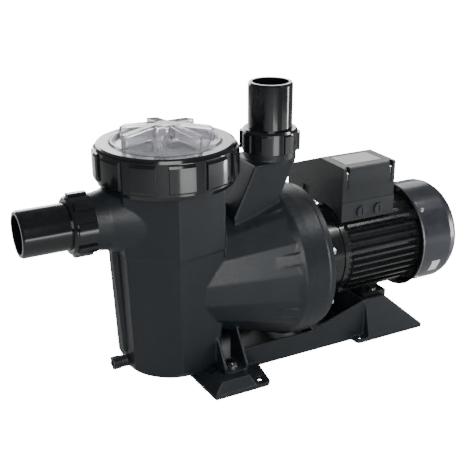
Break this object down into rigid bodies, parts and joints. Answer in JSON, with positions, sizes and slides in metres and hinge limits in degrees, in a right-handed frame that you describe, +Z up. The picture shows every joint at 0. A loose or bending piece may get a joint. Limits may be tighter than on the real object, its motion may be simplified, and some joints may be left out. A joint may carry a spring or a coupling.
{
  "type": "pool pump",
  "caption": "Self-priming pool pump with a clear-lidded strainer pot, side suction and top discharge unions, and a finned electric motor on a moulded base.",
  "frame": {"origin": "on the floor, in the middle of the pump's length and width", "axes": "+X from the suction union towards the motor's fan, +Z up along the discharge, +Y away from the front of the terminal box"},
  "size_m": [0.6482, 0.2266, 0.3948],
  "materials": {
    "satin_black_plastic": "satin moulded glass-filled polypropylene",
    "gloss_black_plastic": "polished moulded ABS",
    "clear_plastic": "clear polycarbonate",
    "basket_plastic": "moulded polypropylene",
    "inner_plastic": "moulded plastic",
    "seal_rubber": "matt",
    "stainless": "bright",
    "bearing_steel": "ground",
    "lamination_steel": "stamped stack",
    "copper_winding": "enamelled copper wire, varnished",
    "ceramic": "lapped ceramic",
    "carbon": "carbon face in a steel shell",
    "motor_paint": "satin paint over die-cast aluminium",
    "cowl_paint": "satin paint over sheet steel",
    "terminal_box_plastic": "fine moulded grain",
    "plate_metal": "satin, blank",
    "label_white": "blank",
    "capacitor_case": "moulded"
  },
  "bodies": {
    "pump": {"pump_body": "satin_black_plastic", "base": "satin_black_plastic", "foot_bolts": "stainless", "foot_washers": "stainless", "suction_oring": "seal_rubber", "discharge_oring": "seal_rubber", "diffuser": "inner_plastic", "casing_cover": "satin_black_plastic", "casing_gasket": "seal_rubber", "casing_bolts": "stainless", "seal_seat": "ceramic", "front_bearing_outer": "bearing_steel", "rear_bearing_outer": "bearing_steel", "stator_core": "lamination_steel", "stator_winding": "copper_winding", "front_end_shield": "motor_paint", "motor_housing": "motor_paint", "rear_end_shield": "motor_paint", "tie_bolts": "stainless", "motor_foot_bolts": "stainless", "fan_cowl": "cowl_paint", "cowl_screws": "stainless", "cowl_label": "label_white", "terminal_box": "terminal_box_plastic", "terminal_box_lid": "terminal_box_plastic", "terminal_lid_screws": "stainless", "rating_plate": "plate_metal", "entry_plugs": "satin_black_plastic", "terminal_block": "inner_plastic", "capacitor": "capacitor_case"},
    "rotor": {"motor_shaft": "stainless", "rotor_core": "lamination_steel", "cooling_fan": "inner_plastic", "impeller": "inner_plastic", "impeller_screw": "stainless", "seal_rotary": "carbon", "seal_spring": "stainless", "water_slinger": "seal_rubber", "front_bearing_inner": "bearing_steel", "rear_bearing_inner": "bearing_steel"},
    "lid": {"lid": "clear_plastic", "lid_oring": "seal_rubber"},
    "lid_ring": {"lid_ring": "gloss_black_plastic"},
    "basket": {"strainer_basket": "basket_plastic", "basket_handle": "basket_plastic"},
    "suction_tail": {"suction_tail": "gloss_black_plastic"},
    "suction_nut": {"suction_nut": "gloss_black_plastic"},
    "discharge_tail": {"discharge_tail": "gloss_black_plastic"},
    "discharge_nut": {"discharge_nut": "gloss_black_plastic"},
    "pot_drain": {"pot_drain_plug": "satin_black_plastic", "pot_drain_seal": "seal_rubber"},
    "volute_drain": {"volute_drain_plug": "satin_black_plastic", "volute_drain_seal": "seal_rubber"}
  },
  "joints": [
    {"name": "rotor_spin", "type": "hinge", "parent": "pump", "child": "rotor", "pos_m": [0.1381, 0, 0.1333], "axis": [1, 0, 0], "continuous": true},
    {"name": "lid_lift", "type": "slide", "parent": "pump", "child": "lid", "axis": [0, 0, 1], "range_m": [0, 0.45]},
    {"name": "lid_ring_turn", "type": "hinge", "parent": "lid", "child": "lid_ring", "pos_m": [-0.1219, 0, 0.3], "axis": [0, 0, 1], "range_deg": [0, 120]},
    {"name": "basket_lift", "type": "slide", "parent": "pump", "child": "basket", "axis": [0, 0, 1], "range_m": [0, 0.28]},
    {"name": "suction_tail_pull", "type": "slide", "parent": "pump", "child": "suction_tail", "axis": [-1, 0, 0], "range_m": [0, 0.05]},
    {"name": "suction_nut_turn", "type": "hinge", "parent": "suction_tail", "child": "suction_nut", "pos_m": [-0.2459, 0, 0.2395], "axis": [-1, 0, 0], "range_deg": [0, 360]},
    {"name": "discharge_tail_pull", "type": "slide", "parent": "pump", "child": "discharge_tail", "axis": [0, 0, 1], "range_m": [0, 0.05]},
    {"name": "discharge_nut_turn", "type": "hinge", "parent": "discharge_tail", "child": "discharge_nut", "pos_m": [0.0331, 0, 0.317], "axis": [0, 0, 1], "range_deg": [0, 360]},
    {"name": "pot_drain_turn", "type": "hinge", "parent": "pump", "child": "pot_drain", "pos_m": [-0.2009, 0, 0.027], "axis": [-1, 0, 0], "range_deg": [0, 360]},
    {"name": "volute_drain_turn", "type": "hinge", "parent": "pump", "child": "volute_drain", "pos_m": [0.0501, 0.062, 0.026], "axis": [0, 1, 0], "range_deg": [0, 360]}
  ],
  "couplings": [
    {"joint": "basket_lift", "follows": "lid_lift", "ratio": 0.6}
  ]
}
